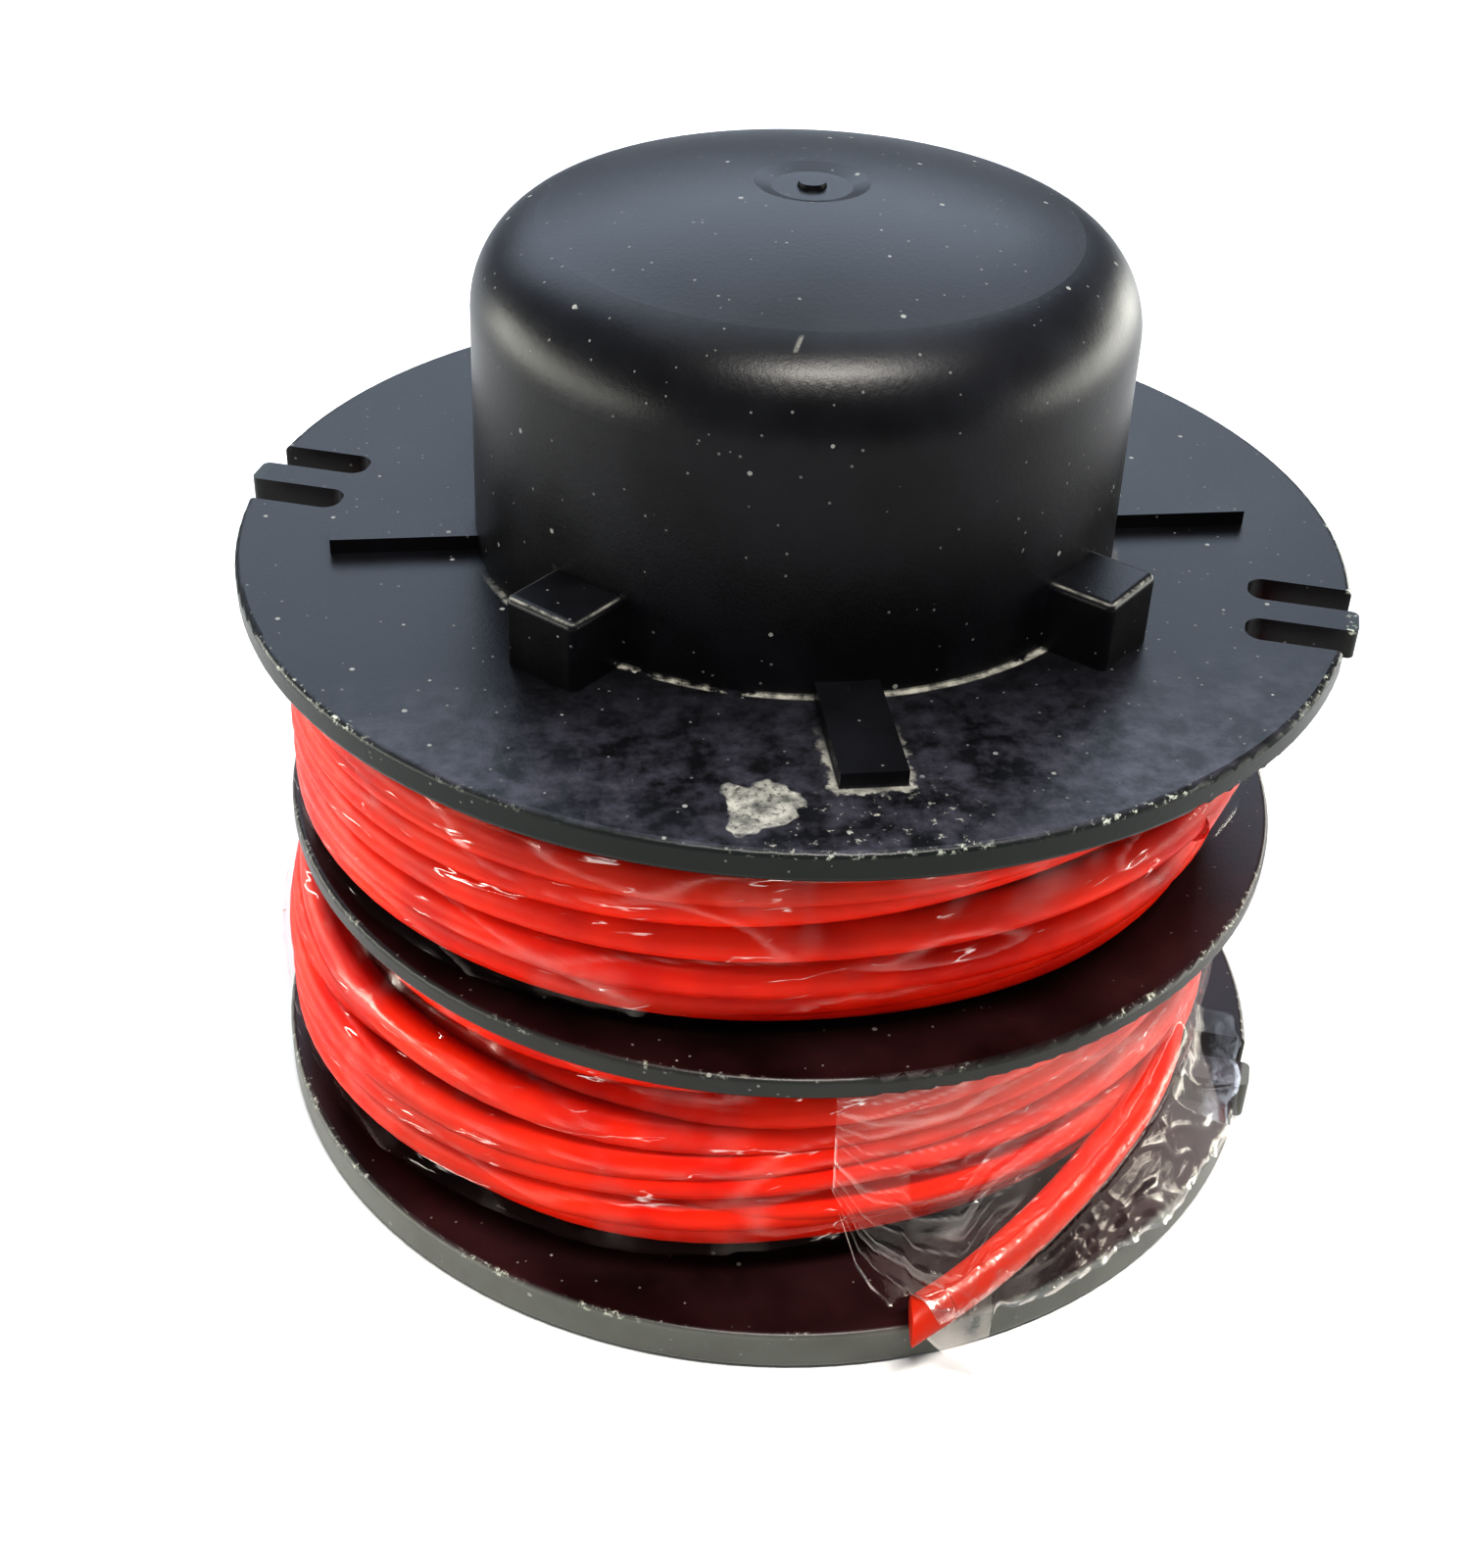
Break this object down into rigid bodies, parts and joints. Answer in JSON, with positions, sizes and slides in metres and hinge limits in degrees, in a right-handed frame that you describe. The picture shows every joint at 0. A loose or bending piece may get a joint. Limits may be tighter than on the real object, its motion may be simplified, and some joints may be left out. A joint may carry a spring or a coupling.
{
  "type": "string reel",
  "caption": "Double-chamber line spool with closed bump knob, notched flanges, red line wound in both chambers under clear film, and a sprung spindle bush inside.",
  "frame": {"origin": "on the spool axis at the flat underside of the bottom flange", "axes": "+Z along the spool axis towards the bump knob, +X along one of the four flat ribs of the top flange"},
  "size_m": [0.088, 0.0897, 0.0783],
  "materials": {
    "black_plastic": "moulded black plastic, fine satin texture, dusty and scuffed at the rims",
    "red_line": "extruded orange-red nylon line, smooth and slightly translucent",
    "clear_film": "thin clear wrinkled plastic film",
    "spring_steel": "drawn spring steel, bare",
    "plated_steel": "zinc-plated pressed steel",
    "grey_nylon": "moulded grey nylon",
    "bush_bronze": "sintered bronze, turned"
  },
  "bodies": {
    "spool": {"knob_flange": "black_plastic", "middle_flange": "black_plastic", "bottom_flange": "black_plastic", "retaining_ring": "spring_steel", "spring_seat": "plated_steel", "feed_spring": "spring_steel", "upper_winding": "red_line", "lower_winding": "red_line", "line_tail": "red_line", "upper_film": "clear_film", "lower_film": "clear_film", "film_flap": "clear_film"},
    "spring_carrier": {"spring_cup": "grey_nylon", "thrust_washer": "plated_steel"},
    "bush": {"spindle_bush": "bush_bronze", "bush_clip": "spring_steel"}
  },
  "joints": [
    {"name": "bump_slide", "type": "slide", "parent": "spool", "child": "spring_carrier", "axis": [0, 0, 1], "range_m": [0, 0.007], "stiffness_N_per_m": 700, "springref_m": -0.01, "deforming": ["feed_spring"]},
    {"name": "bush_spin", "type": "hinge", "parent": "spring_carrier", "child": "bush", "pos_m": [0, 0, 0.01], "axis": [0, 0, 1], "continuous": true}
  ]
}
